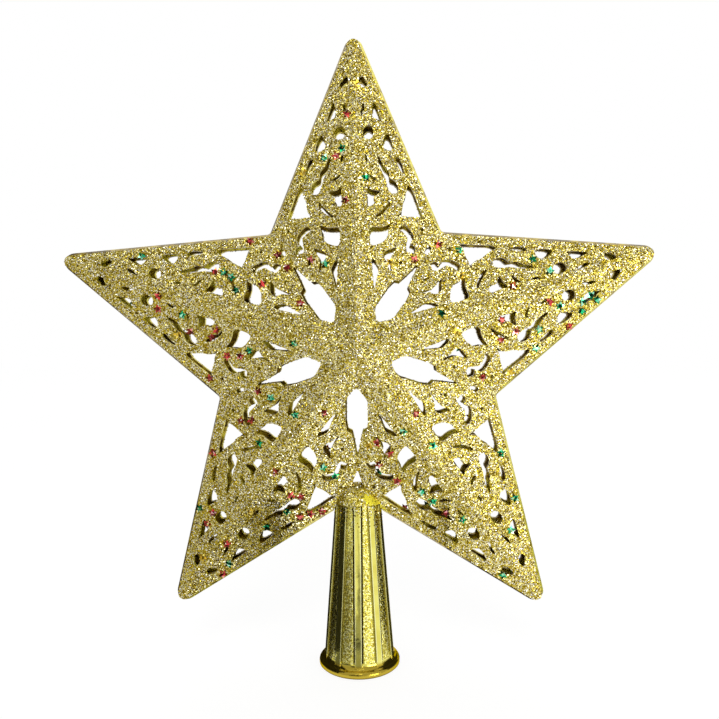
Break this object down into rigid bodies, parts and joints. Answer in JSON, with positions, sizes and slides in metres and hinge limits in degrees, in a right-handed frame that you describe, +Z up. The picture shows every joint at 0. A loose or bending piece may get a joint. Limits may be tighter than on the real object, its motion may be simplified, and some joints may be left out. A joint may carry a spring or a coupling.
{
  "type": "christmas tree topper star",
  "caption": "Pierced five-pointed star tree topper made of two glittered half shells over a ribbed, hollow treetop socket.",
  "frame": {"origin": "middle of the socket's bottom rim, where the part stands", "axes": "+Z up through the socket to the top point of the star, the star's front faces -Y, +X to the right seen from the front"},
  "size_m": [0.1998, 0.0276, 0.2114],
  "materials": {
    "glittered_gold": "plated gold plastic under coarse gold glitter",
    "plated_gold": "smooth metallised gold plastic",
    "red_foil": "metallic foil",
    "green_foil": "metallic foil",
    "gold_foil": "metallic foil"
  },
  "bodies": {
    "root": {"front_shell": "glittered_gold", "rear_shell": "glittered_gold", "treetop_socket": "plated_gold", "front_red_sequins": "red_foil", "front_green_sequins": "green_foil", "front_gold_sequins": "gold_foil", "rear_red_sequins": "red_foil", "rear_green_sequins": "green_foil", "rear_gold_sequins": "gold_foil"}
  },
  "joints": []
}
